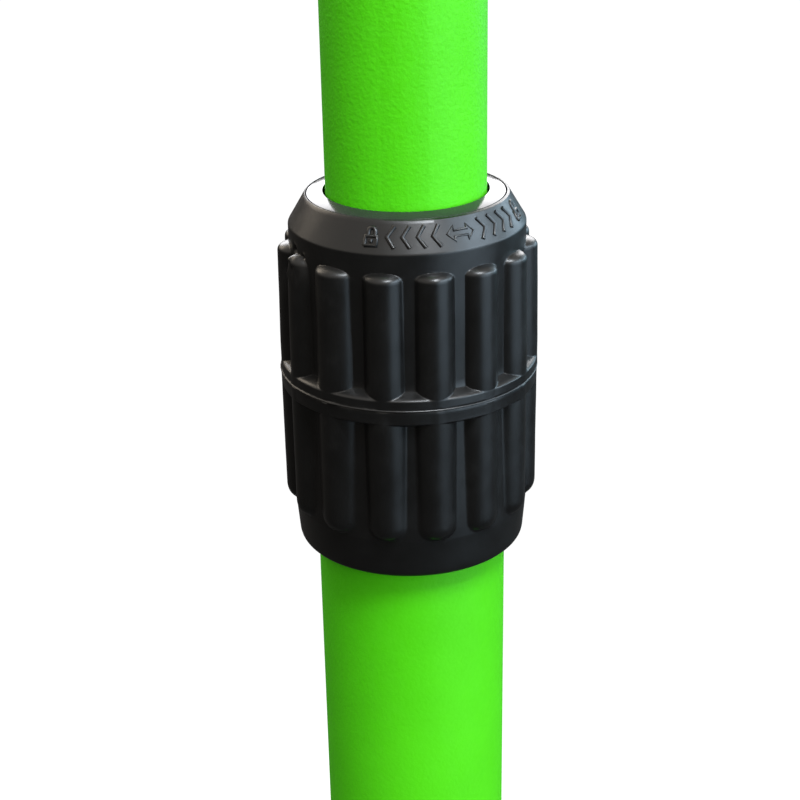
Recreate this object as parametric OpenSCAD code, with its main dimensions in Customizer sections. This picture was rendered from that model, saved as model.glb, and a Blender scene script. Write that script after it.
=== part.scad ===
// Stop and slow paddle on a telescoping staff with a twist-lock collar.
// Millimetres, +Z up along the staff, origin at the centre of the foot's underside.
// The stop face looks towards -Y and the slow face towards +Y.

/* [Staff] */
// Outside diameter of the upper tube
upper_od = 32; // [30:0.5:33]
// Wall of the upper tube
upper_wall = 1.2; // [1:0.1:1.4]
// Outside diameter of the lower tube
lower_od = 40; // [40:0.1:40.4]
// Wall of the lower tube
lower_wall = 1.5; // [1.2:0.1:1.5]
// Height of the collar's top face above the ground
collar_top = 1100; // [900:10:1300]
// Upper tube showing between the collar and the sign
showing = 150; // [140:5:200]
// Upper tube kept inside the lower staff at rest
inserted = 790; // [780:5:800]

/* [Twist-lock collar] */
// Height of the whole collar
collar_h = 74.5; // [74:0.5:80]
// Radius of the flat top face
top_r = 20.2; // [20:0.1:21]
// Radius of the wall between the ribs
wall_r = 23.75; // [23.6:0.05:24.2]
// Radius of the rib crests
rib_r = 26.35; // [25.6:0.05:26.5]
// Number of grip ribs round the collar
ribs = 15; // [12:1:16]
// Half of the width of one rib
rib_half = 4; // [3.6:0.1:4.2]
// Travel of the nut along the staff for one full turn
lead = 6; // [4:1:8]

/* [Foot] */
// Radius of the rubber foot
foot_r = 24.5; // [24:0.5:26]
// Height of the rubber foot
foot_h = 58; // [54:1:70]

/* [Sign] */
// Width of the octagon across its flats
sign_w = 457; // [455:1:460]
// Thickness of the sign panel
panel_t = 2; // [1.6:0.2:2.4]
// Height of the letters
letter_h = 152; // [150:1:154]
// Stroke of the letters
stroke = 22; // [20:1:23]
// Width of the border line
border_w = 10; // [8:1:12]

/* [Hidden] */
$fn = 96;

lime = "#5ad21c";
plastic = "#17181a";
steel = "#b9bcc0";

upper_r = upper_od / 2;
upper_bore_r = upper_r - upper_wall;
lower_r = lower_od / 2;
lower_bore_r = lower_r - lower_wall;

// Collar heights, measured down from its top face
cone_h = 5.9;
rib_top = 10.2;
seam = 36.6;
seam_gap = 0.3;
ledge_top = 33.4;
groove_top = 39.5;
groove_end = 65.3;
rib_end = 63.2;
socket = 42;
neck_top = 12;
seat_end = 31;
collar_bottom = collar_top - collar_h;
hole_r = upper_r + 0.5;
wiper_rise = 0.4;

// Collet and its seat: two cones that keep the same half angle
collet_top_r = 18.5;
seat_slope = 1.4 / 18;
collet_end = 30;
flange_r = 19.4;
flange_top = 6.2;
flange_t = 2.9;
grip_gap = 0.08;

// Thread of the lock: two starts, so that its pitch is half of the lead
starts = 2;
neck_r = 20.6;
thread_r = 21.6;
nut_bore_r = 22.2;
nut_thread_r = 20.95;
thread_turns = 1.25;
thread_fn = 36;

// Foot
foot_floor = 10;
foot_washer_t = 2;
tube_bottom = foot_floor + foot_washer_t;

// Upper staff
sign_bottom = collar_top + showing;
upper_bottom = collar_top - inserted;
slot_h = 125;
upper_top = sign_bottom + slot_h;
bush_r = lower_bore_r - 0.1;
bush_h = 40;
bush_bottom = upper_bottom + 1;

// Sign
sheet_t = 0.4;
film_t = 0.2;
border_inset = 10;
corner_r = 38;
corner_steps = 8;
sign_mid = sign_bottom + sign_w / 2;
sandwich = panel_t / 2 + sheet_t;
slot_half = sandwich + 0.1;
bolt_r = 4;
bolt_hole_r = 4.3;
bolt_heights = [sign_bottom + 28, sign_bottom + 98];
washer_t = 1.6;
saddle_t = 3;
saddle_r = 11;
seat_y = upper_r + saddle_t;
letter_mid = letter_h / 2;
bowl_r = (letter_h + stroke) / 4;
letter_gap = 18;

// A ring about Z between two heights
module ring(r_out, r_in, z0, z1) {
    translate([0, 0, z0]) difference() {
        cylinder(r = r_out, h = z1 - z0);
        translate([0, 0, -1]) cylinder(r = r_in, h = z1 - z0 + 2);
    }
}

// A turned part whose heights are given down from the collar's top face
module turned_down(points) {
    translate([0, 0, collar_top]) rotate_extrude() polygon([for (p = points) [p[0], -p[1]]]);
}

// Grip ribs between two depths below the collar's top face, rounded at one end
module grip_ribs(top, bottom, round_top) {
    r_mid = rib_r - rib_half;
    for (i = [0 : ribs - 1]) rotate([0, 0, (i + 0.5) * 360 / ribs - 90])
        translate([r_mid, 0, collar_top - bottom]) {
            cylinder(r = rib_half, h = bottom - top);
            translate([0, 0, round_top ? bottom - top : 0]) sphere(r = rib_half);
        }
}

// One start of a thread: a trapezoid ridge that climbs along a right-hand helix
module ridge(r_root, r_crest, half_root, half_crest, z_start, angle0) {
    n = floor(thread_turns * thread_fn);
    out = r_crest > r_root ? 1 : -1;
    section = [
        [r_root, -out * half_root], [r_crest, -out * half_crest],
        [r_crest, out * half_crest], [r_root, out * half_root]
    ];
    points = [
        for (i = [0 : n], p = section)
            let (a = angle0 + i * 360 / thread_fn)
            [p[0] * cos(a), p[0] * sin(a), z_start + i * lead / thread_fn + p[1]]
    ];
    sides = [
        for (i = [0 : n - 1], k = [0 : 3], half = [0, 1])
            let (a = 4 * i + k, b = 4 * i + (k + 1) % 4)
            half == 0 ? [a, b, a + 4] : [b, b + 4, a + 4]
    ];
    first = [[0, 2, 1], [0, 3, 2]];
    last = [for (f = first) [4 * n + f[0], 4 * n + f[2], 4 * n + f[1]]];
    polyhedron(points = points, faces = concat(sides, first, last));
}

module thread(r_root, r_crest, half_root, half_crest, z_start, angle0) {
    for (s = [0 : starts - 1])
        ridge(r_root, r_crest, half_root, half_crest, z_start, angle0 + s * 360 / starts);
}

module lower_tube() {
    color(lime) ring(lower_r, lower_bore_r, tube_bottom, collar_top - socket);
}

module rubber_foot() {
    color("#2a2a2b") difference() {
        rotate_extrude() polygon([
            [0, 0], [foot_r - 1, 0], [foot_r, 1], [foot_r, 31], [foot_r - 1.2, 32.2],
            [foot_r - 1.2, 34], [foot_r - 2.2, foot_h - 1.5], [foot_r - 3.2, foot_h], [0, foot_h]
        ]);
        translate([0, 0, foot_floor]) cylinder(r = lower_r, h = foot_h);
        for (r = [8, 14, 20]) ring(r + 1, r - 1, -1, 1.5);
    }
}

module foot_washer() {
    color(steel) ring(lower_r - 0.3, 6.5, foot_floor, tube_bottom);
}

module lock_body() {
    top = seam + seam_gap / 2;
    color(plastic) difference() {
        union() {
            turned_down([
                [0, top], [26.6, top], [rib_r - 0.02, top + 0.4], [rib_r - 0.02, groove_top],
                [wall_r + 0.1, groove_top + 1.1], [wall_r + 0.1, groove_end], [24.5, groove_end + 0.8],
                [23.8, collar_h - 1], [22.8, collar_h], [0, collar_h]
            ]);
            intersection() {
                grip_ribs(top + 1.5, rib_end - 1.5, false);
                ring(rib_r, 10, collar_bottom, collar_top - top);
            }
            translate([0, 0, collar_top - top]) cylinder(r = neck_r, h = top - neck_top);
            thread(neck_r - 0.4, thread_r, 0.75, 0.35, collar_top - 30, 0);
        }
        turned_down([
            [0, neck_top - 1], [collet_top_r + 0.35 + seat_slope, neck_top - 1],
            [collet_top_r + 0.35 - (seat_end - neck_top) * seat_slope, seat_end],
            [hole_r, seat_end], [hole_r, socket], [lower_r + 0.03, socket],
            [lower_r + 0.03, collar_h + 1], [0, collar_h + 1]
        ]);
    }
}

module lock_nut() {
    bottom = seam - seam_gap / 2;
    color(plastic) difference() {
        union() {
            turned_down([
                [0, 0.15], [top_r, 0.15], [wall_r - 0.1, cone_h], [wall_r, cone_h + 0.6],
                [wall_r, ledge_top], [rib_r, ledge_top + 1.1], [rib_r, bottom - 0.4],
                [26.6, bottom - 0.2], [26.6, bottom], [0, bottom]
            ]);
            intersection() {
                grip_ribs(rib_top + 3.2, bottom - 1.5, true);
                ring(rib_r, 10, collar_top - bottom, collar_top);
            }
        }
        turned_down([
            [0, -1], [19.9, -1], [19.9, 3], [18.2, 3], [18.2, 5], [flange_r + 0.3, 5],
            [flange_r + 0.3, 9.4], [18.95, 9.4], [18.95, 10.4], [nut_bore_r, 11.4],
            [nut_bore_r, seam], [0, seam]
        ]);
    }
    color(plastic) thread(nut_bore_r + 0.4, nut_thread_r, 0.75, 0.35, collar_top - 30 + lead / 4, 0);
}

module wiper_ring() {
    color("black") turned_down([
        [hole_r, -wiper_rise], [hole_r + 0.2, -wiper_rise], [19.65, 0], [19.9, 0.25], [19.9, 3], [hole_r, 3]
    ]);
}

module thrust_washer() {
    color(steel) ring(flange_r, hole_r, collar_top - flange_top, collar_top - 5);
}

module collet() {
    base = flange_top + flange_t;
    end_r = collet_top_r - (collet_end - base) * seat_slope;
    color("#d8d4c8") difference() {
        turned_down([
            [upper_r + grip_gap, flange_top], [flange_r, flange_top], [flange_r, base],
            [collet_top_r + (neck_top - base) * seat_slope, base], [end_r, collet_end],
            [upper_r + grip_gap, collet_end]
        ]);
        for (a = [0 : 60 : 300]) rotate([0, 0, a])
            translate([14, -0.7, collar_top - collet_end - 1]) cube([8, 1.4, collet_end - neck_top - 1]);
    }
}

module guide_bush() {
    color("#3a3c40") difference() {
        translate([0, 0, bush_bottom]) rotate_extrude() polygon([
            [upper_r + 0.05, 0], [bush_r - 1, 0], [bush_r, 1.5], [bush_r, bush_h - 1.5],
            [bush_r - 1, bush_h], [upper_r + 0.05, bush_h]
        ]);
        ring(bush_r + 1, bush_r - 1.1, bush_bottom + 18.5, bush_bottom + 21.5);
    }
}

module drag_ring() {
    color("#202122") ring(bush_r + 0.05, bush_r - 1.1, bush_bottom + 18.7, bush_bottom + 21.3);
}

module stop_ring() {
    top = bush_bottom + bush_h;
    color(steel) ring(bush_r - 0.9, upper_r, top + 0.3, top + 2.3);
}

module tube_end_plug() {
    color("#d8d4c8") translate([0, 0, upper_bottom]) rotate_extrude() polygon([
        [0, -4], [bush_r - 2, -4], [bush_r - 1, -3], [bush_r - 1, 0], [upper_bore_r - 0.03, 0],
        [upper_bore_r - 0.03, 22], [upper_bore_r - 1.5, 24], [0, 24]
    ]);
}

module upper_tube() {
    color(lime) difference() {
        ring(upper_r, upper_bore_r, upper_bottom, upper_top);
        translate([-upper_od, -slot_half, sign_bottom - 2]) cube([2 * upper_od, 2 * slot_half, slot_h + 3]);
        bolt_cuts(bolt_hole_r);
    }
}

// Cylinders across the staff at both bolts
module bolt_cuts(r) {
    for (z = bolt_heights) translate([0, 0, z]) rotate([90, 0, 0])
        cylinder(r = r, h = 4 * upper_od, center = true);
}

// A ring about a bolt, between two distances from the panel's middle plane, on one side
module bolt_ring(side, r_out, r_in, y0, y1) {
    for (z = bolt_heights) translate([0, side * y0, z]) rotate([-side * 90, 0, 0]) difference() {
        cylinder(r = r_out, h = y1 - y0);
        translate([0, 0, -1]) cylinder(r = r_in, h = y1 - y0 + 2);
    }
}

// Caps that close the two halves of the slotted tube end
module half_caps() {
    color(plastic) for (side = [-1, 1]) intersection() {
        union() {
            translate([0, 0, upper_top]) cylinder(r1 = upper_r, r2 = upper_r - 1.5, h = 3);
            translate([0, 0, upper_top - 14]) cylinder(r = upper_bore_r - 0.03, h = 14);
        }
        translate([-upper_od, side > 0 ? slot_half : -slot_half - upper_od, upper_top - 20])
            cube([2 * upper_od, upper_od, 40]);
    }
}

module crush_sleeves() {
    color(steel) for (side = [-1, 1]) intersection() {
        bolt_ring(side, 7, bolt_hole_r, sandwich + 0.1, upper_r);
        ring(upper_bore_r - 0.05, 0.01, sign_bottom, upper_top);
    }
}

// Pads that sit on the round tube and give the washers a flat seat
module saddle_pads() {
    color(plastic) for (side = [-1, 1]) difference() {
        bolt_ring(side, saddle_r, bolt_hole_r, upper_r - 5, seat_y);
        translate([0, 0, sign_bottom - 20]) cylinder(r = upper_r + 0.02, h = slot_h + 40);
    }
}

module flat_washers() {
    color(steel) for (side = [-1, 1]) bolt_ring(side, 8, bolt_hole_r, seat_y, seat_y + washer_t);
}

// Round-headed bolts put in from the stop side
module panel_bolts() {
    head_y = seat_y + washer_t;
    reach = seat_y + washer_t + 11;
    color(steel) for (z = bolt_heights) translate([0, 0, z]) rotate([-90, 0, 0]) {
        translate([0, 0, -head_y]) cylinder(r = bolt_r, h = head_y + reach - 1);
        translate([0, 0, reach - 1]) cylinder(r1 = bolt_r, r2 = bolt_r - 0.8, h = 1);
        difference() {
            translate([0, 0, -head_y]) rotate([180, 0, 0]) cylinder(r = 7, h = 5);
            translate([0, 0, -head_y - 5.01]) rotate([0, 0, 30]) cylinder(r = 3.5, h = 3, $fn = 6);
        }
    }
}

// Hexagon nuts with a collar for the locking insert
module panel_nuts() {
    y0 = seat_y + washer_t;
    color(steel) for (z = bolt_heights) translate([0, y0, z]) rotate([-90, 0, 0]) difference() {
        union() {
            cylinder(r = 7.5, h = 6.5, $fn = 6);
            cylinder(r = 6.2, h = 8);
        }
        translate([0, 0, -1]) cylinder(r = bolt_r, h = 10);
    }
}

// The sign's outline, taken in by an inset, with its corners rounded to a radius
module octagon(inset, r) {
    reach = (sign_w / 2 - inset - r) / cos(22.5);
    polygon([
        for (i = [0 : 7], k = [0 : corner_steps])
            let (mid = 22.5 + 45 * i, a = 45 * (i + k / corner_steps))
            [reach * cos(mid) + r * cos(a), reach * sin(mid) + r * sin(a)]
    ]);
}

// A flat figure stood up in the sign's plane, seen the right way round from its own side
module on_face(side, y0, t) {
    rotate([0, 0, side < 0 ? 0 : 180]) translate([0, -y0, sign_mid]) rotate([90, 0, 0])
        linear_extrude(height = t) children();
}

module sheeting(side) {
    difference() {
        on_face(side, panel_t / 2, sheet_t) octagon(1.5, corner_r - 1.5);
        bolt_cuts(bolt_hole_r);
    }
}

module border(side) {
    on_face(side, sandwich, film_t) difference() {
        octagon(border_inset, corner_r - border_inset);
        octagon(border_inset + border_w, corner_r - border_inset - border_w);
        translate([-upper_r - 2, -sign_w]) square([upper_od + 4, sign_w]);
    }
}

// Letters, each drawn from the middle of its own width
function letter_width(c) = c == "T" ? 72 : c == "P" ? 76 : c == "L" ? 64 : c == "W" ? 104 : 2 * bowl_r;

module bowl(from, to) {
    difference() {
        circle(r = bowl_r);
        circle(r = bowl_r - stroke);
        wedge = [for (i = [0 : 8]) let (a = to + i * (from + 360 - to) / 8) 2 * bowl_r * [cos(a), sin(a)]];
        polygon(concat([[0, 0]], wedge));
    }
}

module letter_S() {
    translate([0, letter_mid - bowl_r]) bowl(35, 270);
    translate([0, bowl_r - letter_mid]) bowl(-145, 90);
}

module letter_T() {
    w = letter_width("T");
    translate([-w / 2, letter_mid - stroke]) square([w, stroke]);
    translate([-stroke / 2, -letter_mid]) square([stroke, letter_h - 1]);
}

module letter_O() {
    straight = letter_mid - bowl_r;
    for (s = [-1, 1]) {
        translate([0, s * straight]) bowl(s < 0 ? 180 : 0, s < 0 ? 360 : 180);
        translate([s > 0 ? bowl_r - stroke : -bowl_r, -straight - 0.1]) square([stroke, 2 * straight + 0.2]);
    }
}

module letter_P() {
    w = letter_width("P");
    straight = w / 2 - bowl_r;
    translate([-w / 2, -letter_mid]) square([stroke, letter_h]);
    translate([straight, letter_mid - bowl_r]) bowl(-90, 90);
    for (y = [letter_mid - stroke, letter_mid - 2 * bowl_r])
        translate([-w / 2 + 1, y]) square([straight + w / 2 - 0.9, stroke]);
}

module letter_L() {
    w = letter_width("L");
    translate([-w / 2, -letter_mid]) square([stroke, letter_h]);
    translate([-w / 2 + 1, -letter_mid]) square([w - 1, stroke]);
}

module letter_W() {
    outer = letter_width("W") / 2 - stroke / 2;
    for (s = [-1, 1], x = [outer, 0]) {
        foot_x = s * outer / 2;
        top_x = s * x;
        polygon([
            [foot_x - stroke * 0.45, -letter_mid], [foot_x + stroke * 0.45, -letter_mid],
            [top_x + stroke * 0.45, letter_mid], [top_x - stroke * 0.45, letter_mid]
        ]);
    }
}

module letter(c) {
    if (c == "S") letter_S();
    if (c == "T") letter_T();
    if (c == "O") letter_O();
    if (c == "P") letter_P();
    if (c == "L") letter_L();
    if (c == "W") letter_W();
}

function run_width(chars, n) = n == 0 ? 0 : letter_width(chars[n - 1]) + letter_gap + run_width(chars, n - 1);

module legend(chars) {
    whole = run_width(chars, len(chars)) - letter_gap;
    for (i = [0 : len(chars) - 1])
        translate([run_width(chars, i) + letter_width(chars[i]) / 2 - whole / 2, 0]) letter(chars[i]);
}

module sign_panel() {
    color("#c9ccd0") difference() {
        translate([0, panel_t / 2, sign_mid]) rotate([90, 0, 0])
            linear_extrude(height = panel_t) octagon(0, corner_r);
        bolt_cuts(bolt_hole_r);
    }
}

module stop_sheeting() {
    color("#b5121b") sheeting(-1);
}

module stop_legend() {
    color("white") on_face(-1, sandwich, film_t) legend(["S", "T", "O", "P"]);
}

module stop_border() {
    color("white") border(-1);
}

module slow_sheeting() {
    color("#f26a12") sheeting(1);
}

module slow_legend() {
    color("black") on_face(1, sandwich, film_t) legend(["S", "L", "O", "W"]);
}

module slow_border() {
    color("black") border(1);
}

lower_tube();
rubber_foot();
foot_washer();
lock_body();
lock_nut();
wiper_ring();
thrust_washer();
collet();
guide_bush();
drag_ring();
stop_ring();
tube_end_plug();
upper_tube();
half_caps();
crush_sleeves();
saddle_pads();
flat_washers();
panel_bolts();
panel_nuts();
sign_panel();
stop_sheeting();
stop_legend();
stop_border();
slow_sheeting();
slow_legend();
slow_border();
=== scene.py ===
"""Looks of the stop and slow paddle: smooth moulded collar, powder-coated tubes, sign faces and hardware.

Lengths in the named values are millimetres, as on a drawing; MM turns them into metres where they are used.
Azimuth is measured round the staff in degrees: 0 faces -Y, the stop side, and 90 faces +X.
Depth is measured down from the collar's top face.
"""

import math

import bpy
import numpy as np
from mathutils import Matrix, Vector


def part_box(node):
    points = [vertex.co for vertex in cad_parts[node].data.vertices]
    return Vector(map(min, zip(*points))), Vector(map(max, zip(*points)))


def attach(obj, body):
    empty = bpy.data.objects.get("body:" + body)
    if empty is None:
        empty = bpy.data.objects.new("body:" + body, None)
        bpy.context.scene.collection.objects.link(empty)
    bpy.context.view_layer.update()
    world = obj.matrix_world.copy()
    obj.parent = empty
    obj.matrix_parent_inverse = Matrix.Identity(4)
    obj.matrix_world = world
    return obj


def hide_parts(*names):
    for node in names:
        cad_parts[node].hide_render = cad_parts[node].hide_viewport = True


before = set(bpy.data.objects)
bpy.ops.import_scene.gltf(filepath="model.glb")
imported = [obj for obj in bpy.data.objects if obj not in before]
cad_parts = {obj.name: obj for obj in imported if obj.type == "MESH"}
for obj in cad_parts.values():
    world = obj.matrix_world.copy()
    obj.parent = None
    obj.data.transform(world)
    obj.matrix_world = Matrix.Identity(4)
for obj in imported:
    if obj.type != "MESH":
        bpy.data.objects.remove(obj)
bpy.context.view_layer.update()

MM = 0.001
COLLAR_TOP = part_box("lock_nut")[1].z / MM + 0.15
COLLAR_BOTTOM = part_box("lock_body")[0].z / MM
COLLAR_H = COLLAR_TOP - COLLAR_BOTTOM
UPPER_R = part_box("upper_tube")[1].x / MM
LOWER_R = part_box("lower_tube")[1].x / MM

# Collar skin: the nut is a cone over a wall, the body is grooved above a plain skirt
TOP_R = 20.2
WALL_R = 23.72
CONE_H = 5.87
GROOVE_R = 23.9
SKIRT_R = 24.5
SKIRT_END_R = 23.8
SKIRT_TAPER = 66
# How far the nut's skin is pushed towards +X
LEAN = 0.1

# Ribs: round bars, each with a head on the nut and a tapered tail on the body
RIBS = 15
PHASE = 0.4
PITCH = 360 / RIBS
NUT_RIB_HALF = 4.05
BODY_RIB_HALF = 4.3
CREST_TOP = 26.05
CREST_MID = 26.35
HEAD_FULL = 11.35
HEAD_LONG = 1.9
TAIL_START = 62.3
TAIL_LONG = 4.0
# Two ribs stand wide of an even pitch, by as many degrees about an azimuth
WIDE_BY = 2.7
WIDE_AT = -50

# Seam: a band on each side of it, with a ledge over the nut's and a ceiling to the body's grooves under it
FLOOR_END = 33.35
LEDGE = 1.05
BAND_TOP = FLOOR_END + LEDGE
SEAM = 36.6
SEAM_HALF_GAP = 0.06
BAND_END = 38.9
GROOVE_TOP = 39.5
CEILING = 1.1
BAND_R = 26.25
NUT_FLARE = 0.1
BODY_FLARE = 0.08
FLASH_R = 26.5

# Fillet round the body's lower end
END_FILLET = 1.1
FILLET_START = 73.4

# Bores: the nut is hollow over the body's neck, and the wiper ring sits in the nut's top face
NUT_BORE_R = 22.2
NECK_R = 20.6
RING_SEAT_R = 19.95


# ---------------------------------------------------------------- meshes

# Edges that turn by more than this are shaded sharp
SHARP = math.radians(32)
SHARP_BEVELLED = math.radians(40)


def soft_max(a, b, blend):
    """The larger of two surfaces, with a fillet of about blend where they meet."""
    share = np.clip(0.5 + 0.5 * (a - b) / blend, 0, 1)
    return b + (a - b) * share + blend * share * (1 - share)


def soft_min(a, b, blend):
    """The smaller of two surfaces, with the same fillet."""
    return -soft_max(-a, -b, blend)


def volume(mesh):
    """Signed volume: below zero when the faces point inwards."""
    mesh.calc_loop_triangles()
    corners = np.empty(len(mesh.loop_triangles) * 3, dtype=np.int32)
    mesh.loop_triangles.foreach_get("vertices", corners)
    points = np.empty(len(mesh.vertices) * 3)
    mesh.vertices.foreach_get("co", points)
    a, b, c = points.reshape(-1, 3)[corners.reshape(-1, 3)].transpose(1, 0, 2)
    return np.einsum("ij,ij->i", a, np.cross(b, c)).sum() / 6


def add_mesh(name, points, faces):
    """An object from points in metres, its faces turned outwards and smooth but for sharp edges."""
    mesh = bpy.data.meshes.new(name)
    mesh.from_pydata(points, [], faces)
    mesh.validate()
    if volume(mesh) < 0:
        mesh.flip_normals()
    mesh.polygons.foreach_set("use_smooth", [True] * len(mesh.polygons))
    mesh.set_sharp_from_angle(angle=SHARP)
    piece = bpy.data.objects.new(name, mesh)
    bpy.context.scene.collection.objects.link(piece)
    return piece


def ring_skin(name, rows, steps, closed=True):
    """A skin of rings about Z. A row is (height, radius), and either may vary round the turn."""
    angles = np.linspace(0, 2 * np.pi, steps, endpoint=False)
    rings = []
    for z, r in rows:
        z, r = np.broadcast_to(z, steps), np.broadcast_to(r, steps)
        rings.append(np.stack([r * np.cos(angles), r * np.sin(angles), z], 1))
    points = np.concatenate(rings) * MM
    here = np.arange(steps)
    after = np.roll(here, -1)
    faces = []
    for i in range(len(rows) if closed else len(rows) - 1):
        a, b = i * steps, (i + 1) % len(rows) * steps
        faces += np.stack([a + here, a + after, b + after, b + here], 1).tolist()
    if not closed:
        faces += [here[::-1].tolist(), (here + (len(rows) - 1) * steps).tolist()]
    return add_mesh(name, points.tolist(), faces)


def rounded(corners, closed=True, parts=6):
    """Corners (r, z, fillet) as (z, r) rows, with an arc of parts steps for each corner that has a fillet."""
    rows = []
    count = len(corners)
    for i, (r, z, fillet) in enumerate(corners):
        if fillet == 0 or (not closed and i in (0, count - 1)):
            rows.append((z, r))
            continue
        here = Vector((r, z))
        back = (Vector(corners[i - 1][:2]) - here).normalized()
        ahead = (Vector(corners[(i + 1) % count][:2]) - here).normalized()
        half = back.angle(ahead) / 2
        start, end = here + back * fillet / math.tan(half), here + ahead * fillet / math.tan(half)
        centre = here + (back + ahead).normalized() * fillet / math.sin(half)
        for k in range(parts + 1):
            spoke = (start - centre).slerp(end - centre, k / parts).normalized() * fillet
            rows.append((centre.y + spoke.y, centre.x + spoke.x))
    return rows


def turned(name, corners, steps, closed=True):
    """A lathe piece about Z from a profile of corners."""
    return ring_skin(name, rounded(corners, closed), steps, closed)


def settle(piece, body, material, slot, *nodes):
    """Gives a piece its material and its body, and the CAD nodes that it stands for."""
    piece.data.materials.clear()
    piece.data.materials.append(material)
    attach(piece, body)
    if nodes:
        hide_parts(*nodes)
    return piece


def apply_modifiers(piece):
    """Bakes a piece's modifiers into its mesh."""
    graph = bpy.context.evaluated_depsgraph_get()
    mesh = bpy.data.meshes.new_from_object(piece.evaluated_get(graph))
    piece.modifiers.clear()
    piece.data = mesh
    return piece


def cut(piece, *tools):
    """Cuts the tools out of a piece and removes them."""
    for tool in tools:
        step = piece.modifiers.new("cut", "BOOLEAN")
        step.operation = "DIFFERENCE"
        step.solver = "EXACT"
        step.object = tool
    bpy.context.view_layer.update()
    apply_modifiers(piece)
    for tool in tools:
        bpy.data.objects.remove(tool)
    piece.data.set_sharp_from_angle(angle=SHARP)
    return piece


def bevel(piece, width, segments, angle):
    """Rounds the edges of a piece that turn by more than an angle."""
    step = piece.modifiers.new("bevel", "BEVEL")
    step.width = width * MM
    step.segments = segments
    step.limit_method = "ANGLE"
    step.angle_limit = math.radians(angle)
    bpy.context.view_layer.update()
    apply_modifiers(piece)
    piece.data.set_sharp_from_angle(angle=SHARP_BEVELLED)
    return piece


def box_piece(name, low, high):
    """A box between two corners."""
    corners = [(x, y, z) for x in (low[0], high[0]) for y in (low[1], high[1]) for z in (low[2], high[2])]
    faces = [(0, 1, 3, 2), (4, 6, 7, 5), (0, 4, 5, 1), (2, 3, 7, 6), (0, 2, 6, 4), (1, 5, 7, 3)]
    return add_mesh(name, [[v * MM for v in c] for c in corners], faces)


def across(piece, height, side=-1):
    """Lays a piece that was made about Z along Y at a height, with its +Z end towards side."""
    turn = Matrix.Rotation(-side * math.pi / 2, 4, "X")
    piece.data.transform(Matrix.Translation((0, 0, height * MM)) @ turn)
    return piece


def joined(name, pieces):
    """One object made of several."""
    points, faces = [], []
    for piece in pieces:
        first = len(points)
        points += [tuple(v.co) for v in piece.data.vertices]
        faces += [[first + i for i in p.vertices] for p in piece.data.polygons]
        bpy.data.objects.remove(piece)
    return add_mesh(name, points, faces)


# ---------------------------------------------------------------- materials


class Shader:
    """A material's nodes, written briefly."""

    def __init__(self, name):
        self.material = bpy.data.materials.new(name)
        self.material.use_nodes = True
        self.tree = self.material.node_tree
        self.tree.nodes.clear()
        self.main = self.add("ShaderNodeBsdfPrincipled")
        self.add("ShaderNodeOutputMaterial", {"Surface": self.main.outputs[0]})
        self.place = self.add("ShaderNodeTexCoord").outputs["Object"]

    def add(self, kind, values=None, **settings):
        node = self.tree.nodes.new(kind)
        for key, value in settings.items():
            setattr(node, key, value)
        for key, value in (values or {}).items():
            self.put(node.inputs[key], value)
        return node

    def put(self, socket, value):
        if isinstance(value, bpy.types.NodeSocket):
            self.tree.links.new(value, socket)
        else:
            socket.default_value = value

    def set(self, **values):
        names = {key.replace("_", " "): value for key, value in values.items()}
        for key, value in names.items():
            self.put(self.main.inputs[key], value)

    def stretched(self, scale):
        return self.add("ShaderNodeMapping", {"Vector": self.place, "Scale": scale}).outputs[0]

    def noise(self, per_mm, detail=2, rough=0.5, place=None):
        values = {"Vector": place or self.place, "Scale": per_mm / MM, "Detail": detail, "Roughness": rough}
        return self.add("ShaderNodeTexNoise", values).outputs[0]

    def math(self, operation, *values):
        node = self.add("ShaderNodeMath", operation=operation)
        for socket, value in zip(node.inputs, values):
            self.put(socket, value)
        return node.outputs[0]

    def vector(self, operation, *values):
        node = self.add("ShaderNodeVectorMath", operation=operation)
        for socket, value in zip(node.inputs, values):
            self.put(socket, value)
        return node

    def ramp(self, value, low, high, to_low=0.0, to_high=1.0):
        values = {"Value": value, "From Min": low, "From Max": high, "To Min": to_low, "To Max": to_high}
        return self.add("ShaderNodeMapRange", values).outputs[0]

    def mix(self, share, a, b):
        node = self.add("ShaderNodeMix", data_type="RGBA")
        for socket, value in zip((node.inputs[0], node.inputs[6], node.inputs[7]), (share, a, b)):
            self.put(socket, value)
        return node.outputs[2]

    def bump(self, height, strength, depth_mm, normal=None):
        values = {"Height": height, "Strength": strength, "Distance": depth_mm * MM}
        node = self.add("ShaderNodeBump", values)
        if normal:
            self.put(node.inputs["Normal"], normal)
        return node.outputs[0]

    def specks(self, apart_mm, radius_mm, share, seed):
        """Small round spots, on about a share of the cells of a grid."""
        shifted = self.vector("ADD", self.place, (seed, seed * 0.7, seed * 1.3)).outputs[0]
        cells = self.add("ShaderNodeTexVoronoi", {"Vector": shifted, "Scale": 1 / (apart_mm * MM)})
        near = self.ramp(cells.outputs["Distance"], radius_mm / apart_mm, 0.5 * radius_mm / apart_mm)
        pick = self.add("ShaderNodeSeparateColor", {"Color": cells.outputs["Color"]}).outputs[0]
        return self.math("MULTIPLY", near, self.math("GREATER_THAN", pick, 1 - share))


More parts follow.
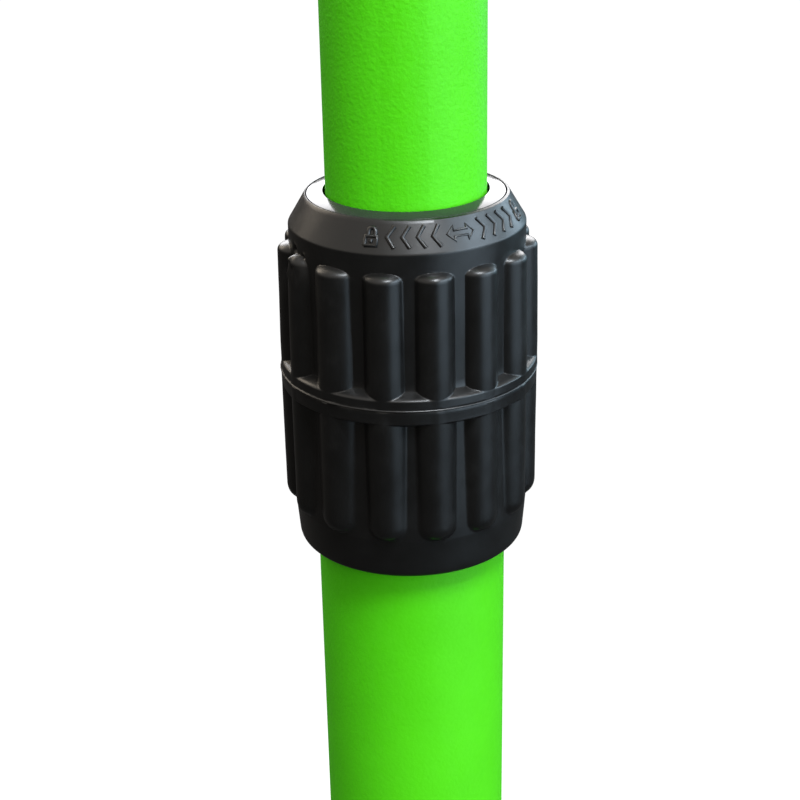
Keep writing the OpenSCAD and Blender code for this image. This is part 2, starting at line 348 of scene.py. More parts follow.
def powder_coat(name, peel, painted_shade):
    """Lime powder coat: orange peel about a millimetre across, a few chips and dark specks; the last argument
    darkens all its colours, as painted shade.
    """
    s = Shader(name)
    dark, light, crest = (
        tuple(c * painted_shade for c in colour) + (1,)
        for colour in ((0.072, 0.6, 0.004), (0.083, 0.67, 0.006), (0.12, 0.74, 0.02))
    )
    tone = s.ramp(s.noise(0.03, 3), 0.35, 0.65)
    colour = s.mix(tone, dark, light)
    fine_tone = s.ramp(s.noise(0.9, 2), 0.3, 0.7)
    colour = s.mix(s.math("MULTIPLY", fine_tone, 0.14), colour, crest)
    colour = s.mix(s.specks(16, 0.28, 0.22, 0.31), colour, (0.75, 0.85, 0.7, 1))
    colour = s.mix(s.specks(9, 0.14, 0.25, 0.77), colour, (0.02, 0.12, 0.01, 1))
    s.set(Base_Color=colour, Specular_IOR_Level=0.22)
    s.set(Roughness=s.ramp(s.noise(0.5, 3), 0.3, 0.7, 0.42, 0.55))
    coarse = s.bump(s.noise(1.25, 1.4, 0.5), peel, 0.16)
    s.set(Normal=s.bump(s.noise(3.2, 2, 0.6), peel * 0.6, 0.04, coarse))
    return s.material


def moulded_plastic(name, colour, rough=0.35):
    """Moulded plastic: fine grain, slow flow waves, faint scuffs and a little lint that catch the light."""
    s = Shader(name)
    scuff = s.ramp(s.noise(0.12, 6, 0.75), 0.56, 0.72)
    pale = tuple(min(1, c * 1.6 + 0.003) for c in colour[:3]) + (1,)
    worn = s.mix(s.math("MULTIPLY", scuff, 0.5), colour, pale)
    lint = s.math("MULTIPLY", s.specks(6.5, 0.13, 0.1, 0.41), 0.6)
    s.set(Base_Color=s.mix(lint, worn, (0.5, 0.5, 0.48, 1)))
    uneven = s.ramp(s.noise(0.18, 4, 0.6), 0.3, 0.7, rough - 0.04, rough + 0.06)
    s.set(Roughness=s.math("ADD", uneven, s.math("MULTIPLY", scuff, 0.06)))
    waves = s.bump(s.noise(0.16, 2), 0.5, 0.05)
    s.set(Normal=s.bump(s.noise(5.5, 3, 0.6), 0.4, 0.02, waves))
    return s.material


def polished_plastic(name):
    """Polished black plastic with hairline turning marks."""
    s = Shader(name)
    s.set(Base_Color=s.mix(s.noise(0.2, 3), (0.016, 0.016, 0.018, 1), (0.03, 0.03, 0.032, 1)))
    s.set(Roughness=s.ramp(s.noise(0.25, 4), 0.35, 0.75, 0.12, 0.2), IOR=1.33)
    s.set(Normal=s.bump(s.noise(0.5, 3), 0.25, 0.02))
    return s.material


def rubber(name):
    """Moulded rubber, dusty where it is handled and rests on the ground."""
    s = Shader(name)
    dust = s.ramp(s.noise(0.09, 6, 0.7), 0.48, 0.75)
    low = s.add("ShaderNodeSeparateXYZ", {"Vector": s.place}).outputs[2]
    near_ground = s.ramp(low, 0.018, 0.0)
    dirty = s.math("MAXIMUM", s.math("MULTIPLY", dust, 0.25), s.math("MULTIPLY", near_ground, dust))
    s.set(Base_Color=s.mix(dirty, (0.022, 0.022, 0.023, 1), (0.16, 0.15, 0.13, 1)), Specular_IOR_Level=0.35)
    s.set(Roughness=s.ramp(s.noise(0.8, 3), 0.3, 0.7, 0.62, 0.8))
    s.set(Normal=s.bump(s.noise(3.5, 3, 0.65), 0.4, 0.05))
    return s.material


def nylon(name, colour):
    """Bare moulded nylon: cloudy, with a soft sheen."""
    s = Shader(name)
    cloud = s.ramp(s.noise(0.15, 4, 0.6), 0.35, 0.7)
    deep = tuple(c * 0.82 for c in colour[:3]) + (1,)
    s.set(Base_Color=s.mix(cloud, colour, deep), Subsurface_Weight=0.05, Subsurface_Scale=MM)
    s.set(Roughness=s.ramp(s.noise(0.4, 3), 0.3, 0.7, 0.38, 0.52))
    s.set(Normal=s.bump(s.noise(4, 3), 0.2, 0.02))
    return s.material


def zinc_plate(name):
    """Bright zinc over machined steel, slightly blue, with dull patches."""
    s = Shader(name)
    patch = s.ramp(s.noise(0.25, 5, 0.6), 0.4, 0.7)
    s.set(Base_Color=s.mix(patch, (0.62, 0.64, 0.67, 1), (0.46, 0.47, 0.47, 1)), Metallic=1.0)
    s.set(Roughness=s.ramp(s.noise(0.6, 4), 0.3, 0.75, 0.2, 0.42))
    s.set(Normal=s.bump(s.noise(4, 2), 0.2, 0.01))
    return s.material


def brushed_aluminium(name):
    """Milled sheet, brushed along X."""
    s = Shader(name)
    lines = s.noise(2.2, 4, 0.6, s.stretched((0.02, 1, 1)))
    s.set(Base_Color=s.mix(lines, (0.6, 0.61, 0.63, 1), (0.8, 0.81, 0.82, 1)), Metallic=1.0)
    s.set(Roughness=s.ramp(lines, 0.3, 0.7, 0.25, 0.42))
    s.set(Normal=s.bump(lines, 0.3, 0.01))
    return s.material


def honeycomb(s, across_mm):
    """Nearness to the edge of a honeycomb cell in the sign's plane: 0 at its centre, 0.5 at its edge."""
    xyz = s.add("ShaderNodeSeparateXYZ", {"Vector": s.place})
    flat = s.add("ShaderNodeCombineXYZ", {"X": xyz.outputs[0], "Y": xyz.outputs[2]}).outputs[0]
    grid = s.vector("MULTIPLY", flat, (1 / (across_mm * MM),) * 3).outputs[0]
    half = (0.5, math.sqrt(3) / 2, 0.5)
    back = (-0.5, -math.sqrt(3) / 2, -0.5)
    first = s.vector("WRAP", grid, half, back).outputs[0]
    shifted = s.vector("ADD", grid, (0.5, math.sqrt(3) / 2, 0)).outputs[0]
    second = s.vector("WRAP", shifted, half, back).outputs[0]
    lengths = [s.vector("LENGTH", v).outputs["Value"] for v in (first, second)]
    nearer = s.math("GREATER_THAN", *lengths)
    pick = s.add("ShaderNodeMix", data_type="VECTOR")
    for socket, value in zip((pick.inputs[0], pick.inputs[4], pick.inputs[5]), (nearer, first, second)):
        s.put(socket, value)
    apart = s.vector("ABSOLUTE", pick.outputs[1]).outputs[0]
    slanted = s.vector("DOT_PRODUCT", apart, (0.5, math.sqrt(3) / 2, 0)).outputs["Value"]
    straight = s.add("ShaderNodeSeparateXYZ", {"Vector": apart}).outputs[0]
    return s.math("MAXIMUM", slanted, straight)


def sheeting(name, colour, seal):
    """Retroreflective sheeting: honeycomb seals over a field of prism cells with a painted glint, under a
    clear face.
    """
    s = Shader(name)
    edge = s.ramp(honeycomb(s, 4.2), 0.42, 0.47)
    prisms = s.add("ShaderNodeTexVoronoi", {"Vector": s.place, "Scale": 1 / (0.35 * MM)}).outputs["Distance"]
    # Prism cells painted lighter at their centres and darker at their edges: a painted glint.
    painted_glint = s.ramp(prisms, 0.1, 0.7)
    deep = tuple(c * 0.82 for c in colour[:3]) + (1,)
    field = s.mix(painted_glint, colour, deep)
    field = s.mix(s.ramp(s.noise(0.02, 4), 0.35, 0.7, 0, 0.35), field, deep)
    s.set(Base_Color=s.mix(s.math("MULTIPLY", edge, 0.55), field, seal))
    s.set(Roughness=s.ramp(s.noise(0.05, 4), 0.3, 0.7, 0.26, 0.4))
    s.set(Coat_Weight=0.6, Coat_Roughness=0.12)
    s.set(Normal=s.bump(s.math("ADD", edge, s.math("MULTIPLY", painted_glint, 0.15)), 0.25, 0.03))
    return s.material


def vinyl_film(name, colour):
    """Cut film with a soft sheen and a trace of dust."""
    s = Shader(name)
    dust = s.ramp(s.noise(0.06, 6, 0.7), 0.5, 0.8)
    s.set(Base_Color=s.mix(s.math("MULTIPLY", dust, 0.03), colour, (0.4, 0.4, 0.38, 1)))
    s.set(Roughness=s.ramp(s.noise(0.3, 4), 0.3, 0.7, 0.3, 0.45))
    s.set(Normal=s.bump(s.noise(1.2, 3), 0.15, 0.02))
    return s.material


# ---------------------------------------------------------------- camera, light and floor

CAMERA_BACK = 306.55
CAMERA_UP = 88.41
CAMERA_PITCH = math.radians(23.591)
CAMERA_YAW = math.radians(-0.371)
CAMERA_ROLL = math.radians(-1.1)
LENS = 72


def make_camera():
    """The picture's own viewpoint: a little above the collar, looking down at it."""
    data = bpy.data.cameras.new("camera")
    data.lens = LENS
    data.sensor_width = 36
    data.clip_start = 0.01
    data.clip_end = 100
    camera = bpy.data.objects.new("camera", data)
    bpy.context.scene.collection.objects.link(camera)
    pitch, yaw, roll = CAMERA_PITCH, CAMERA_YAW, CAMERA_ROLL
    ahead = Vector((math.sin(yaw) * math.cos(pitch), math.cos(yaw) * math.cos(pitch), -math.sin(pitch)))
    right = Vector((math.cos(yaw), -math.sin(yaw), 0))
    up = right.cross(ahead)
    x = right * math.cos(roll) + up * math.sin(roll)
    y = up * math.cos(roll) - right * math.sin(roll)
    turn = Matrix((x, y, -ahead)).transposed().to_4x4()
    place = Vector((0, -CAMERA_BACK, COLLAR_TOP + CAMERA_UP)) * MM
    camera.matrix_world = Matrix.Translation(place) @ turn
    bpy.context.scene.camera = camera


def area_light(name, place, aim, width, height, watts, colour, shine=True, body=True):
    """A soft panel. With shine it shows in glossy reflections, and with body it lights matt colour."""
    data = bpy.data.lights.new(name, "AREA")
    data.shape = "RECTANGLE"
    data.size, data.size_y = width, height
    data.energy = watts
    data.color = colour
    light = bpy.data.objects.new(name, data)
    bpy.context.scene.collection.objects.link(light)
    light.location = place
    light.rotation_mode = "QUATERNION"
    light.rotation_quaternion = (Vector(aim) - Vector(place)).to_track_quat("-Z", "Y")
    light.visible_camera = False
    light.visible_glossy = shine
    light.visible_diffuse = body


COOL = (0.64, 0.83, 1.0)
COOLER = (0.45, 0.8, 1.0)
WARM = (1.0, 0.86, 0.68)


def make_lights():
    """Soft cool panels round the right side, warm fills, a small light high in front, and a glow behind.

    Two of the panels only make highlights on the collar's cone, and the front fill only lights matt colour.
    The glow is what the polished ring reflects.
    """
    mid = COLLAR_TOP * MM
    area_light("panel_right", (1.33, -0.9, 1.15), (0, 0, 1.15), 1.75, 1.2, 19, COOL)
    area_light("panel_side", (1.31, 0.92, 1.55), (0, 0, 1.55), 1.6, 1.7, 8, COOLER)
    area_light("high_right", (1.72, -0.6, 2.1), (0, 0, mid), 1.7, 0.5, 30, COOL, body=False)
    area_light("side_strip", (1.55, 0.82, 1.42), (0, 0, mid), 1.4, 0.35, 9, COOL, body=False)
    area_light("left_back", (-1.3, 1.1, 2.1), (0, 0, mid), 1.0, 1.0, 11, WARM)
    area_light("front_fill", (0.6, -2.1, 1.9), (0, 0, mid), 1.0, 1.0, 8, WARM, shine=False)
    area_light("front_high", (0.52, -0.92, 2.9), (0, 0, mid), 0.6, 0.6, 54, (0.88, 0.94, 1.0))
    area_light("backdrop_glow", (0, 3.0, 2.2), (0, 0, mid), 3.2, 1.4, 105, (0.97, 0.97, 1.0))


def make_world():
    """White for the camera; for light and reflections, a pale tent above the horizon and dark below it."""
    world = bpy.data.worlds.new("studio")
    world.use_nodes = True
    nodes, links = world.node_tree.nodes, world.node_tree.links
    nodes.clear()
    seen, tent = (nodes.new("ShaderNodeBackground") for _ in range(2))
    seen.inputs["Color"].default_value = (1, 1, 1, 1)
    place = nodes.new("ShaderNodeTexCoord")
    split = nodes.new("ShaderNodeSeparateXYZ")
    rise = nodes.new("ShaderNodeMapRange")
    rise.inputs["From Min"].default_value = 0.0
    rise.inputs["From Max"].default_value = 0.35
    tone = nodes.new("ShaderNodeMix")
    tone.data_type = "RGBA"
    tone.inputs[6].default_value = (0.012, 0.012, 0.012, 1)
    tone.inputs[7].default_value = (0.82, 0.76, 0.69, 1)
    mix = nodes.new("ShaderNodeMixShader")
    out = nodes.new("ShaderNodeOutputWorld")
    links.new(place.outputs["Generated"], split.inputs[0])
    links.new(split.outputs[2], rise.inputs["Value"])
    links.new(rise.outputs[0], tone.inputs[0])
    links.new(tone.outputs[2], tent.inputs["Color"])
    links.new(nodes.new("ShaderNodeLightPath").outputs["Is Camera Ray"], mix.inputs[0])
    links.new(tent.outputs[0], mix.inputs[1])
    links.new(seen.outputs[0], mix.inputs[2])
    links.new(mix.outputs[0], out.inputs[0])
    bpy.context.scene.world = world


def make_floor():
    """A plain pale floor, which fades to white away from the foot and throws little light back up."""
    s = Shader("floor")
    ray = s.add("ShaderNodeLightPath").outputs["Is Camera Ray"]
    s.set(Base_Color=s.mix(ray, (0.03, 0.03, 0.03, 1), (0.8, 0.8, 0.8, 1)))
    s.set(Roughness=0.6, Specular_IOR_Level=0.1)
    glow = s.add("ShaderNodeEmission", {"Color": (1, 1, 1, 1), "Strength": 1.05})
    away = s.vector("LENGTH", s.place).outputs["Value"]
    share = s.math("MULTIPLY", s.ramp(away, 0.5, 1.6), ray)
    mixed = s.add("ShaderNodeMixShader", {0: share, 1: s.main.outputs[0], 2: glow.outputs[0]})
    out = [n for n in s.tree.nodes if n.type == "OUTPUT_MATERIAL"][0]
    s.put(out.inputs["Surface"], mixed.outputs[0])
    side = 30 / MM
    floor = box_piece("floor", (-side, -side, -20), (side, side, -0.2))
    floor.data.materials.append(s.material)


# ---------------------------------------------------------------- collar

COLLAR_STEPS = 720


def azimuths():
    """Azimuth of each point of a collar ring, from -180 to 180."""
    angle = np.linspace(0, 360, COLLAR_STEPS, endpoint=False) + 90 - PHASE
    return (angle + 180) % 360 - 180


def rib(azimuth, crest, half, share):
    """Outer surface of the round ribs; share is how much of a rib's radius is left, for its ends."""
    from_middle = (azimuth + WIDE_BY * np.exp(-(((azimuth - WIDE_AT) / 22) ** 4))) % PITCH - PITCH / 2
    centre = crest - half
    reach = half * share
    aside = np.abs(centre * np.sin(np.radians(from_middle)))
    inside = np.sqrt(np.maximum(reach**2 - aside**2, 0))
    return centre * np.cos(np.radians(from_middle)) + inside - 3 * np.maximum(aside - reach, 0)


def end_share(along, power):
    """How far an end has closed: 1 at along = 0, 0 at along = 1, along a rounded corner."""
    return (1 - np.clip(along, 0, 1) ** power) ** (1 / power)


def waver(azimuth, depth, size):
    """Slow unevenness of a moulded wall."""
    a = np.radians(azimuth)
    slow = np.sin(5 * a + depth * 0.31)
    quick = 0.6 * np.sin(11 * a - depth * 0.47) + 0.4 * np.sin(23 * a + depth)
    return size * (slow + quick)


# One rib's head came pinched out of the mould, at an azimuth
PINCHED_AT = -62.5
# Knocks on the nut: azimuth, depth, width, and how far each goes in. A negative one stands proud
NICKS = [
    (-68, 9.2, 0.8, 1.3), (-64, 10.2, 0.5, -0.55), (-61, 11.8, 0.4, 0.35), (-64.5, 13.0, 0.5, -0.4),
    (-58.5, 9.6, 0.5, 0.5), (-58, 13.2, 0.4, 0.3), (40.4, 20.0, 0.16, -0.12), (32.8, 18.6, 0.2, 0.2),
]


def ragged(azimuth):
    """Small steps along a trimmed moulding line."""
    a = np.radians(azimuth)
    return np.sin(31 * a) * np.sin(53 * a + 1) * 0.6 + np.sin(97 * a + 2) * np.sin(13 * a) * 0.4


def dent(azimuth, depth, at_azimuth, at_depth, wide_mm, deep):
    """A small round dent."""
    across_mm = (azimuth - at_azimuth) * math.radians(CREST_MID)
    return deep * np.exp(-((across_mm / wide_mm) ** 2) - ((depth - at_depth) / wide_mm) ** 2)


def nut_radius(azimuth, depth):
    """Outer surface of the lock nut: cone, wall, ribs with round heads, ledges between them, seam band."""
    cone = TOP_R + (WALL_R - TOP_R) * depth / CONE_H
    wall = soft_min(cone, WALL_R + 0.1 * depth / FLOOR_END, 0.12)
    crest = CREST_TOP + (CREST_MID - CREST_TOP) * np.clip((depth - HEAD_FULL) / 20, 0, 1)
    pinch = 0.34 * np.exp(-(((azimuth - PINCHED_AT) / 9) ** 4)) * np.clip((13.6 - depth) / 3.5, 0, 1)
    share = end_share((HEAD_FULL - depth) / HEAD_LONG, 2.6) * (1 - pinch)
    ribs = rib(azimuth, crest + 0.8 * NUT_RIB_HALF * pinch, NUT_RIB_HALF, share)
    skin = soft_max(wall, ribs, 0.3) if depth > HEAD_FULL - HEAD_LONG else wall + 0 * azimuth
    band = BAND_R + NUT_FLARE * np.clip((depth - BAND_TOP) / (SEAM - BAND_TOP), 0, 1)
    ledge = soft_min(WALL_R + 0.1 + (BAND_R - WALL_R) * (depth - FLOOR_END) / LEDGE, band, 0.8)
    skin = soft_max(skin, ledge, 0.2)
    for at_azimuth, at_depth, wide, deep in NICKS:
        skin = skin - dent(azimuth, depth, at_azimuth, at_depth, wide, deep)
    return skin + waver(azimuth, depth, 0.012) + LEAN * np.sin(np.radians(azimuth))


def body_radius(azimuth, depth):
    """Outer surface of the lock body: seam band, grooves under it, ribs with tapered tails, plain skirt."""
    taper = np.clip((depth - SKIRT_TAPER) / (COLLAR_H - SKIRT_TAPER), 0, 1)
    skirt = SKIRT_R + (SKIRT_END_R - SKIRT_R) * taper
    skirt = soft_min(skirt, GROOVE_R + (SKIRT_R - GROOVE_R) * (depth - 41) / 24, 0.1)
    share = end_share((depth - TAIL_START) / TAIL_LONG, 2.4)
    ribs = rib(azimuth, CREST_MID, BODY_RIB_HALF, share)
    skin = soft_max(skirt, ribs, 0.5) if depth < TAIL_START + TAIL_LONG else skirt + 0 * azimuth
    band = BAND_R + BODY_FLARE * np.clip((BAND_END - depth) / (BAND_END - SEAM), 0, 1)
    ceiling = BAND_R - (BAND_R - GROOVE_R) * (depth - GROOVE_TOP) / CEILING
    skin = soft_max(skin, soft_min(ceiling, band, 0.35), 0.2)
    return skin + waver(azimuth, depth, 0.012)


def collar_rows(radius, depths):
    """Rows for ring_skin from a surface that gives a radius by azimuth and depth."""
    azimuth = azimuths()
    return [(COLLAR_TOP - d, radius(azimuth, d)) for d in depths]


def flash_rows(depths_and_reach):
    """The thin line of flash at the seam, with one bit that stands proud."""
    proud = 0.1 * np.exp(-(((azimuths() + 36) / 2.2) ** 4))
    edge = ragged(azimuths()) * 0.035 + proud
    return [(COLLAR_TOP - d, FLASH_R - inset + edge) for d, inset in depths_and_reach]


def lock_nut(material):
    """The nut's moulding: rings are closest at the rib heads and the ledges."""
    depths = np.concatenate([
        np.linspace(0.3, 5.2, 10), np.linspace(5.45, 6.4, 8), np.linspace(6.8, 9.2, 6),
        np.linspace(9.45, 11.5, 30), np.linspace(12, 33, 18), np.linspace(33.4, 34.9, 18),
        np.linspace(35.1, 36.2, 5),
    ])
    low = SEAM - SEAM_HALF_GAP
    outside = [(COLLAR_TOP - 0.12, TOP_R - 0.14)] + collar_rows(nut_radius, depths)
    outside += flash_rows([(low - 0.2, 0.16), (low - 0.12, 0.04), (low - 0.04, 0.0), (low, 0.06)])
    # Up from the seam: over the neck, the collet's flange and washer, the throat, the wiper ring's seat
    inside = [
        (low, NUT_BORE_R), (11.4, NUT_BORE_R), (10.4, 18.95), (9.4, 18.95), (9.4, 19.7), (5.0, 19.7),
        (5.0, 18.2), (3.0, 18.2), (3.0, RING_SEAT_R), (0.25, RING_SEAT_R), (0.12, RING_SEAT_R + 0.05),
    ]
    rows = outside + [(COLLAR_TOP - d, r) for d, r in inside]
    piece = ring_skin("lock_nut_moulding", rows, COLLAR_STEPS)
    settle(piece, "nut_set", material, "collar_black", "lock_nut")


def lock_body(material):
    """The body's moulding: rings are closest at the grooves' tops and the rib tails."""
    high = SEAM + SEAM_HALF_GAP
    depths = np.concatenate([
        np.linspace(high + 0.3, 38.8, 5), np.linspace(38.95, 41.2, 26), np.linspace(42, 60, 12),
        np.linspace(60.6, 66.4, 28), np.linspace(67.5, FILLET_START, 6),
    ])
    fillet = [
        (FILLET_START + END_FILLET * math.sin(a), END_FILLET * (1 - math.cos(a)))
        for a in np.linspace(0.2, math.pi / 2, 7)
    ]
    outside = flash_rows([(high, 0.4), (high + 0.1, 0.24)]) + collar_rows(body_radius, depths)
    outside += [(COLLAR_TOP - d, SKIRT_END_R + 0.05 - inset) for d, inset in fillet]
    # Up from the end: the lower tube's socket, the upper tube's passage, the collet's cone, the neck
    inside = [
        (COLLAR_H, LOWER_R + 0.25), (COLLAR_H - 0.2, LOWER_R + 0.05), (42, LOWER_R + 0.05),
        (42, UPPER_R + 0.5), (31, UPPER_R + 0.5), (31, 17.4), (12.2, 18.85), (12, 19.1),
        (12, NECK_R - 0.3), (12.3, NECK_R), (high, NECK_R),
    ]
    rows = outside + [(COLLAR_TOP - d, r) for d, r in inside]
    piece = ring_skin("lock_body_moulding", rows, COLLAR_STEPS)
    settle(piece, "lower_staff", material, "collar_black", "lock_body")


def wiper_ring(material):
    """The ring's face slopes down from the tube to the nut."""
    inner, outer = UPPER_R + 0.5, 19.74
    high, edge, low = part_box("wiper_ring")[1].z / MM, COLLAR_TOP - 0.15, COLLAR_TOP - 2.9
    corners = [(inner, high, 0.15), (outer, edge, 0.12), (outer, low, 0.1), (inner, low, 0.1)]
    piece = turned("wiper_ring_polished", corners, 256)
    settle(piece, "nut_set", material, "ring_black", "wiper_ring")


# Raised marks on the nut's cone: a closed padlock, pointers, a double arrow, pointers, an open padlock
MARK_DEPTH = 2.9
MARK_HALF = 1.8
LINE_R = 0.44


def chevron(way):
    """A pointer, towards +X or -X. A mark is a list of strokes, and whether they close."""
    return [[(-0.7 * way, MARK_HALF), (0.7 * way, 0), (-0.7 * way, -MARK_HALF)]], False


def double_arrow():
    """The outline of an arrow with a head at both ends."""
    tip, neck, barb, shaft = 2.85, 1.4, 1.25, 0.5
    half = [(tip, 0), (neck, barb), (neck, shaft)]
    right_down = [(x, -y) for x, y in reversed(half[1:])]
    left = [(-x, y) for x, y in reversed(half)] + [(-x, y) for x, y in reversed(right_down)]
    return [half + left + right_down], True


def padlock(lift):
    """A padlock's outline: a body, and a shackle that is shut, or lifted out on one side."""
    body = [(-1.1, -1.5), (1.1, -1.5), (1.1, 0.05), (-1.1, 0.05), (-1.1, -1.5)]
    arc = [(0.7 * math.cos(a), 0.75 + lift * 0.5 + 0.7 * math.sin(a)) for a in np.linspace(math.pi, 0, 9)]
    shackle = [(-0.7, 0.05)] + arc + [(0.7, 0.05 + lift)]
    return [body, shackle, [(0, -0.5), (0, -0.95)]], False


def on_cone(x, y, azimuth):
    """A mark's point (x, y) in mm, laid on the cone at an azimuth."""
    depth = MARK_DEPTH - y
    radius = TOP_R + (WALL_R - TOP_R) * depth / CONE_H
    angle = math.radians(azimuth - 90) + x / (TOP_R + 1.8)
    return Vector((radius * math.cos(angle), radius * math.sin(angle), COLLAR_TOP - depth - 0.05)) * MM


def nut_marks(material):
    """The marks as round raised lines: each has an azimuth and a line's radius."""
    lines = [(padlock(0), -17.5, LINE_R), (double_arrow(), 27.5, 0.31), (padlock(0.55), 74, LINE_R)]
    lines += [(chevron(-1), a, LINE_R) for a in (-8, -0.5, 7, 14.5)]
    lines += [(chevron(1), a, LINE_R) for a in (40.5, 48, 55.5, 63)]
    curve = bpy.data.curves.new("nut_marks", "CURVE")
    curve.dimensions = "3D"
    curve.bevel_depth = MM
    curve.bevel_resolution = 3
    curve.use_fill_caps = True
    for (strokes, closed), azimuth, line_r in lines:
        for stroke in strokes:
            spline = curve.splines.new("POLY")
            spline.points.add(len(stroke) - 1)
            spline.use_cyclic_u = closed
            for point, (x, y) in zip(spline.points, stroke):
                point.co = (*on_cone(x, y, azimuth), 1)
                point.radius = line_r
    holder = bpy.data.objects.new("nut_marks_curve", curve)
    bpy.context.scene.collection.objects.link(holder)
    graph = bpy.context.evaluated_depsgraph_get()
    mesh = bpy.data.meshes.new_from_object(holder.evaluated_get(graph))
    piece = bpy.data.objects.new("nut_marks", mesh)
    bpy.context.scene.collection.objects.link(piece)
    bpy.data.objects.remove(holder)
    mesh.polygons.foreach_set("use_smooth", [True] * len(mesh.polygons))
    settle(piece, "nut_set", material, "collar_black")


# ---------------------------------------------------------------- tubes and foot

SIGN_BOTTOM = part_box("sign_panel")[0].z / MM
SIGN_W = (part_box("sign_panel")[1].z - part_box("sign_panel")[0].z) / MM
SIGN_MID = SIGN_BOTTOM + SIGN_W / 2
BOLT_HEIGHTS = [SIGN_BOTTOM + 28, SIGN_BOTTOM + 98]
SLOT_HALF = 1.5
BOLT_HOLE_R = 4.3
# Distances from the sign's plane to a saddle pad's face, and to the washer's face on it
PAD_FACE = 19
HEAD_SEAT = 20.6


def rod(name, radius, low, high, steps=64):
    """A capped cylinder about Z, to cut with."""
    return ring_skin(name, [(high, radius), (low, radius)], steps, closed=False)


def bolt_drills():
    """Rods right through the staff and the sign, where the bolts pass."""
    reach = 60
    return [across(rod("drill", BOLT_HOLE_R, -reach, reach), z) for z in BOLT_HEIGHTS]


def slot_blade():
    """What the slot that the sign stands in takes out of the upper tube."""
    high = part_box("half_caps")[1].z / MM + 5
    return box_piece("blade", (-40, -SLOT_HALF, SIGN_BOTTOM - 2), (40, SLOT_HALF, high))


def lower_tube(material):
    """The thicker tube, from the foot into the collar."""
    low, high = (corner.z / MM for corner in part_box("lower_tube"))
    inner = LOWER_R - 1.5
    corners = [(LOWER_R, high, 0.3), (LOWER_R, low, 0.3), (inner, low, 0.2), (inner, high, 0.2)]
    piece = turned("lower_tube_coated", corners, 256)
    settle(piece, "lower_staff", material, "lime_coat", "lower_tube")


def upper_tube(material):
    """The thinner tube, slotted and drilled for the sign."""
    low, high = (corner.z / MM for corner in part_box("upper_tube"))
    inner = UPPER_R - 1.2
    corners = [(UPPER_R, high, 0.35), (UPPER_R, low, 0.3), (inner, low, 0.2), (inner, high, 0.2)]
    piece = turned("upper_tube_coated", corners, 256)
    cut(piece, slot_blade(), *bolt_drills())
    settle(piece, "upper_staff", material, "lime_coat", "upper_tube")


def rubber_foot(material):
    """Foot with a grip-ringed wall, a waisted upper sleeve and ring treads with cross cuts underneath."""
    radius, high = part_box("rubber_foot")[1].x / MM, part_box("rubber_foot")[1].z / MM
    bore, floor = LOWER_R + 0.01, 10
    corners = [(2, floor, 0), (bore, floor, 0.3), (bore, high, 0.4), (radius - 3.2, high, 0.6)]
    corners += [(radius - 2.2, high - 8, 0)]
    for z in (49.5, 45.5, 41.5):
        r = radius - 2.2
        corners += [(r, z + 0.8, 0.3), (r - 0.6, z + 0.4, 0.2), (r - 0.6, z - 0.4, 0.2), (r, z - 0.8, 0.3)]
    corners += [(radius - 1.3, 34, 0), (radius - 1.3, 32.3, 0.3), (radius, 31, 0.6)]
    for z in (24, 19, 14, 9):
        corners += [(radius, z + 1.1, 0.3), (radius - 0.7, z + 0.6, 0.25)]
        corners += [(radius - 0.7, z - 0.6, 0.25), (radius, z - 1.1, 0.3)]
    corners += [(radius, 0, 1.2)]
    for r in (20, 14, 8):
        corners += [(r + 1, 0, 0.25), (r + 1, 1.5, 0.3), (r - 1, 1.5, 0.3), (r - 1, 0, 0.25)]
    corners += [(2, 0, 0)]
    piece = turned("rubber_foot_moulded", corners, 192, closed=False)
    blades = []
    for i in range(4):
        blade = box_piece("sipe", (3.5, -0.6, -1), (40, 0.6, 1.3))
        blade.data.transform(Matrix.Rotation(math.radians(45 + 90 * i), 4, "Z"))
        blades.append(blade)
    cut(piece, *blades)
    settle(piece, "lower_staff", material, "foot_rubber", "rubber_foot")


# ---------------------------------------------------------------- sign and its fixings


def octagon(inset, corner_r, parts=24):
    """The sign's outline as (x, height) points, taken in by an inset."""
    reach = (SIGN_W / 2 - inset - corner_r) / math.cos(math.radians(22.5))
    points = []
    for i in range(8):
        mid = math.radians(22.5 + 45 * i)
        for k in range(parts + 1):
            a = math.radians(45 * (i + k / parts))
            x = reach * math.cos(mid) + corner_r * math.cos(a)
            points.append((x, SIGN_MID + reach * math.sin(mid) + corner_r * math.sin(a)))
    return points


def plate(name, outline, y0, y1, edge):
    """A flat piece in the sign's plane between two distances, with its edges rounded a little."""
    count = len(outline)
    points = [(x * MM, y * MM, z * MM) for y in (y0, y1) for x, z in outline]
    faces = [list(range(count)), list(range(2 * count - 1, count - 1, -1))]
    faces += [[i, i + count, (i + 1) % count + count, (i + 1) % count] for i in range(count)]
    piece = add_mesh(name, points, faces)
    return bevel(piece, edge, 3, 60)


def sign_panel(material):
    """The aluminium octagon."""
    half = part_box("sign_panel")[1].y / MM
    piece = cut(plate("sign_panel_sheet", octagon(0, 38), -half, half, 0.3), *bolt_drills())
    settle(piece, "upper_staff", material, "panel_aluminium", "sign_panel")


def sheet_face(node, material, slot):
    """The sheeting on one face, a little smaller than the panel."""
    low, high = (corner.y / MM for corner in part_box(node))
    piece = cut(plate(node + "_laid", octagon(1.5, 36.5), low, high, 0.12), *bolt_drills())
    settle(piece, "upper_staff", material, slot, node)


def border_line(node, material, slot):
    """The border, open at the bottom where the tube passes."""
    low, high = (corner.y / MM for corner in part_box(node))
    gap = UPPER_R + 2
    outer, inner = octagon(10, 28), octagon(20, 18)
    first = next(i for i, (x, z) in enumerate(outer) if z < SIGN_MID and x > gap and i > len(outer) / 2)
    turn = [(loop[first:] + loop[:first]) for loop in (outer, inner)]
    ends = [loop[0][1] for loop in turn]
    paths = [[(gap, z)] + loop + [(-gap, z)] for loop, z in zip(turn, ends)]
    piece = plate(node + "_cut", paths[0] + paths[1][::-1], low, high, 0.06)
    settle(piece, "upper_staff", material, slot, node)


